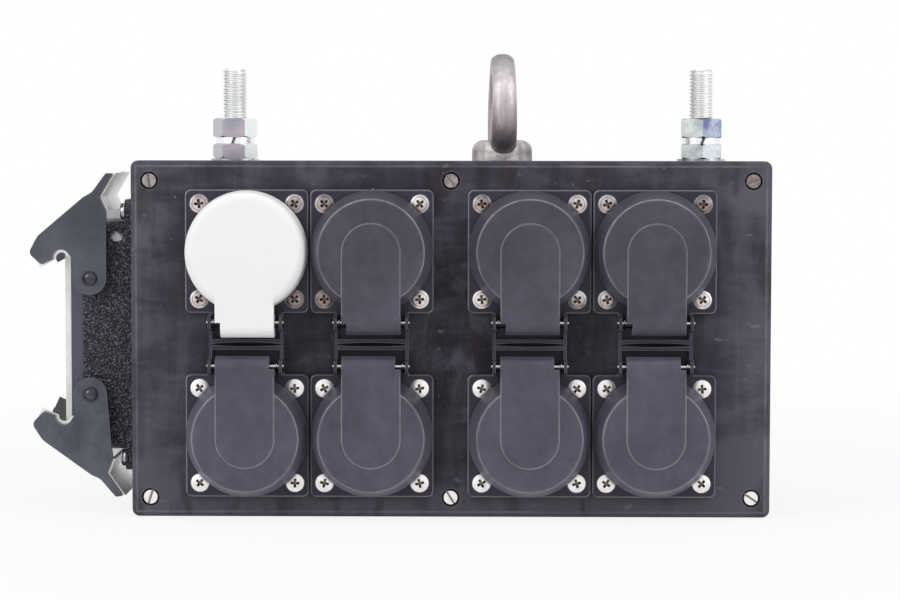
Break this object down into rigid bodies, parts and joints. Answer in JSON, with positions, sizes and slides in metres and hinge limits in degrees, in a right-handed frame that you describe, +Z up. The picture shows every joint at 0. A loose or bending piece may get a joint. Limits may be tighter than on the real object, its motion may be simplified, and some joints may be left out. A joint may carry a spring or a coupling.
{
  "type": "power breakout box",
  "caption": "Black rubber power distribution box with hinged-lid earthed sockets on the front, a rectangular inlet connector with locking levers, threaded hanging studs and a lifting eye.",
  "frame": {"origin": "centre of the flat underside of the enclosure", "axes": "+X to the right seen from the socket side, +Y from the socket side to the back, +Z up along the hanging studs"},
  "size_m": [0.3011, 0.0976, 0.188],
  "materials": {
    "case_rubber": "black solid rubber, slightly scuffed satin",
    "gasket_rubber": "matt black",
    "cream_seal": "cream silicone, matt",
    "socket_plastic": "black moulded, matt",
    "lid_plastic": "dark grey moulded, fine matt",
    "white_lid_plastic": "white moulded, fine matt",
    "nickel_steel": "nickel plated",
    "zinc_steel": "bright zinc plated",
    "forged_steel": "drop forged, dull galvanised",
    "contact_brass": "plain brass",
    "silver_brass": "silver plated brass",
    "cast_aluminium": "die cast, black textured coating",
    "insert_plastic": "light grey glass-filled",
    "dark_steel": "black",
    "lever_paint": "dark grey satin paint",
    "bright_steel": "bright zinc plated"
  },
  "bodies": {
    "box": {"enclosure_body": "case_rubber", "front_cover": "case_rubber", "cover_gasket": "gasket_rubber", "cover_screws": "nickel_steel", "cover_inserts": "contact_brass", "flange_gaskets": "gasket_rubber", "flange_screws": "nickel_steel", "hinge_pins": "nickel_steel", "lid_springs": "nickel_steel", "contact_carriers": "socket_plastic", "line_contacts": "contact_brass", "earth_clips": "contact_brass", "left_stud": "zinc_steel", "right_stud": "zinc_steel", "flat_washers": "zinc_steel", "lower_nuts": "zinc_steel", "spring_washers": "zinc_steel", "upper_nuts": "zinc_steel", "inner_nuts": "zinc_steel", "backing_plate": "zinc_steel", "lifting_eye": "forged_steel", "connector_housing": "cast_aluminium", "connector_face_seal": "cream_seal", "connector_gasket": "gasket_rubber", "connector_screws": "nickel_steel", "connector_insert": "insert_plastic", "power_pins": "silver_brass", "insert_screws": "nickel_steel", "lever_pivots": "dark_steel", "socket_1": "socket_plastic", "socket_2": "socket_plastic", "socket_3": "socket_plastic", "socket_4": "socket_plastic", "socket_5": "socket_plastic", "socket_6": "socket_plastic", "socket_7": "socket_plastic", "socket_8": "socket_plastic"},
    "lid_1_body": {"lid_1": "white_lid_plastic", "lid_seal_1": "gasket_rubber"},
    "lid_2_body": {"lid_2": "lid_plastic", "lid_seal_2": "gasket_rubber"},
    "lid_3_body": {"lid_3": "lid_plastic", "lid_seal_3": "gasket_rubber"},
    "lid_4_body": {"lid_4": "lid_plastic", "lid_seal_4": "gasket_rubber"},
    "lid_5_body": {"lid_5": "lid_plastic", "lid_seal_5": "gasket_rubber"},
    "lid_6_body": {"lid_6": "lid_plastic", "lid_seal_6": "gasket_rubber"},
    "lid_7_body": {"lid_7": "lid_plastic", "lid_seal_7": "gasket_rubber"},
    "lid_8_body": {"lid_8": "lid_plastic", "lid_seal_8": "gasket_rubber"},
    "upper_lever_body": {"upper_lever": "lever_paint", "upper_lever_cam": "bright_steel"},
    "lower_lever_body": {"lower_lever": "lever_paint", "lower_lever_cam": "bright_steel"}
  },
  "joints": [
    {"name": "lid_1_hinge", "type": "hinge", "parent": "box", "child": "lid_1_body", "pos_m": [-0.0818, -0.0523, 0.0793], "axis": [1, 0, 0], "range_deg": [0, 92], "stiffness_Nm_per_rad": 0.02, "springref_deg": -85.94},
    {"name": "lid_2_hinge", "type": "hinge", "parent": "box", "child": "lid_2_body", "pos_m": [-0.0316, -0.0523, 0.0793], "axis": [1, 0, 0], "range_deg": [0, 92], "stiffness_Nm_per_rad": 0.02, "springref_deg": -85.94},
    {"name": "lid_3_hinge", "type": "hinge", "parent": "box", "child": "lid_3_body", "pos_m": [0.0316, -0.0523, 0.0793], "axis": [1, 0, 0], "range_deg": [0, 92], "stiffness_Nm_per_rad": 0.02, "springref_deg": -85.94},
    {"name": "lid_4_hinge", "type": "hinge", "parent": "box", "child": "lid_4_body", "pos_m": [0.0818, -0.0523, 0.0793], "axis": [1, 0, 0], "range_deg": [0, 92], "stiffness_Nm_per_rad": 0.02, "springref_deg": -85.94},
    {"name": "lid_5_hinge", "type": "hinge", "parent": "box", "child": "lid_5_body", "pos_m": [-0.0818, -0.0523, 0.0619], "axis": [-1, 0, 0], "range_deg": [0, 92], "stiffness_Nm_per_rad": 0.02, "springref_deg": -85.94},
    {"name": "lid_6_hinge", "type": "hinge", "parent": "box", "child": "lid_6_body", "pos_m": [-0.0316, -0.0523, 0.0619], "axis": [-1, 0, 0], "range_deg": [0, 92], "stiffness_Nm_per_rad": 0.02, "springref_deg": -85.94},
    {"name": "lid_7_hinge", "type": "hinge", "parent": "box", "child": "lid_7_body", "pos_m": [0.0316, -0.0523, 0.0619], "axis": [-1, 0, 0], "range_deg": [0, 92], "stiffness_Nm_per_rad": 0.02, "springref_deg": -85.94},
    {"name": "lid_8_hinge", "type": "hinge", "parent": "box", "child": "lid_8_body", "pos_m": [0.0818, -0.0523, 0.0619], "axis": [-1, 0, 0], "range_deg": [0, 92], "stiffness_Nm_per_rad": 0.02, "springref_deg": -85.94},
    {"name": "upper_lever_hinge", "type": "hinge", "parent": "box", "child": "upper_lever_body", "pos_m": [-0.1477, 0, 0.09575], "axis": [0, -1, 0], "range_deg": [-4, 34]},
    {"name": "lower_lever_hinge", "type": "hinge", "parent": "box", "child": "lower_lever_body", "pos_m": [-0.1477, 0, 0.04825], "axis": [0, 1, 0], "range_deg": [0, 38]}
  ]
}
